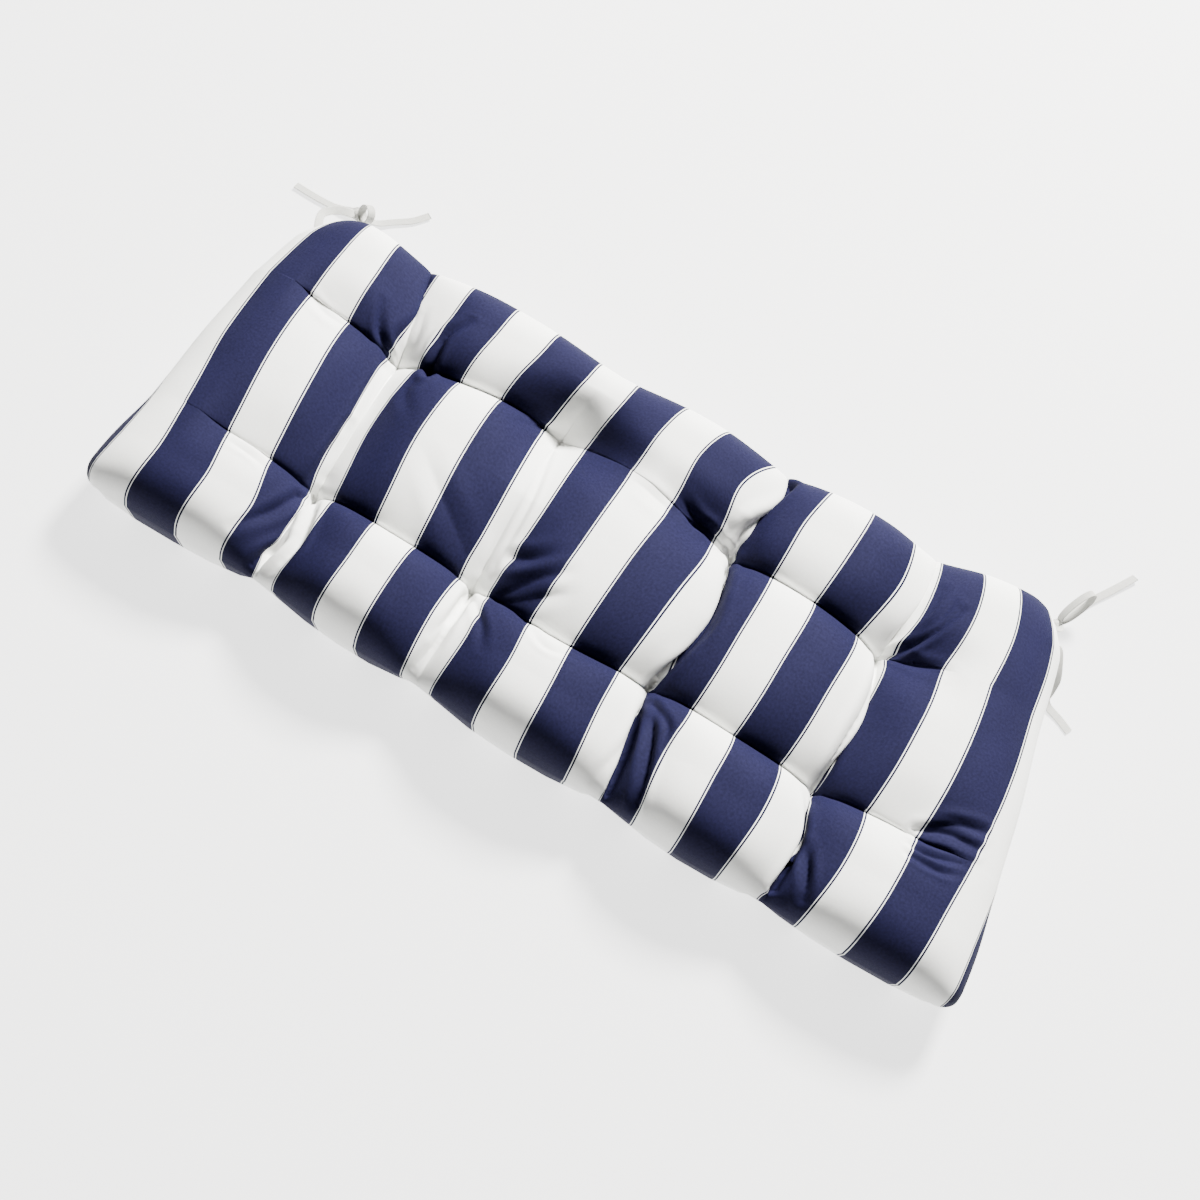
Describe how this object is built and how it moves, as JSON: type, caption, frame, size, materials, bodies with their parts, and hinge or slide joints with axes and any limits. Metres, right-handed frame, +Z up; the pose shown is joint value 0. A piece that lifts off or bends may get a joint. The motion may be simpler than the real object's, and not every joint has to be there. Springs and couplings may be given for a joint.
{
  "type": "bench cushion",
  "caption": "Tufted bench cushion with puffed lobes, rounded back corners, wide stripes from front to back, and fabric ties knotted at the back corners.",
  "frame": {"origin": "centre of the cushion's box, at the height of the surface it lies on", "axes": "+X along the bench from the left end to the right end, +Y from the front edge to the back edge with the ties, +Z up from the surface"},
  "size_m": [1.1545, 0.6356, 0.121],
  "materials": {
    "striped_cloth": "plain woven outdoor cloth with wide navy and white stripes, each stripe edged by a pinstripe",
    "tie_cloth": "white folded and pressed fabric strip"
  },
  "bodies": {
    "root": {"cushion": "striped_cloth", "tie_left_strap": "tie_cloth", "tie_left_knot": "tie_cloth", "tie_left_loop": "tie_cloth", "tie_left_tail_out": "tie_cloth", "tie_left_tail_in": "tie_cloth", "tie_right_strap": "tie_cloth", "tie_right_knot": "tie_cloth", "tie_right_loop": "tie_cloth", "tie_right_tail_back": "tie_cloth", "tie_right_side_strap": "tie_cloth"}
  },
  "joints": []
}
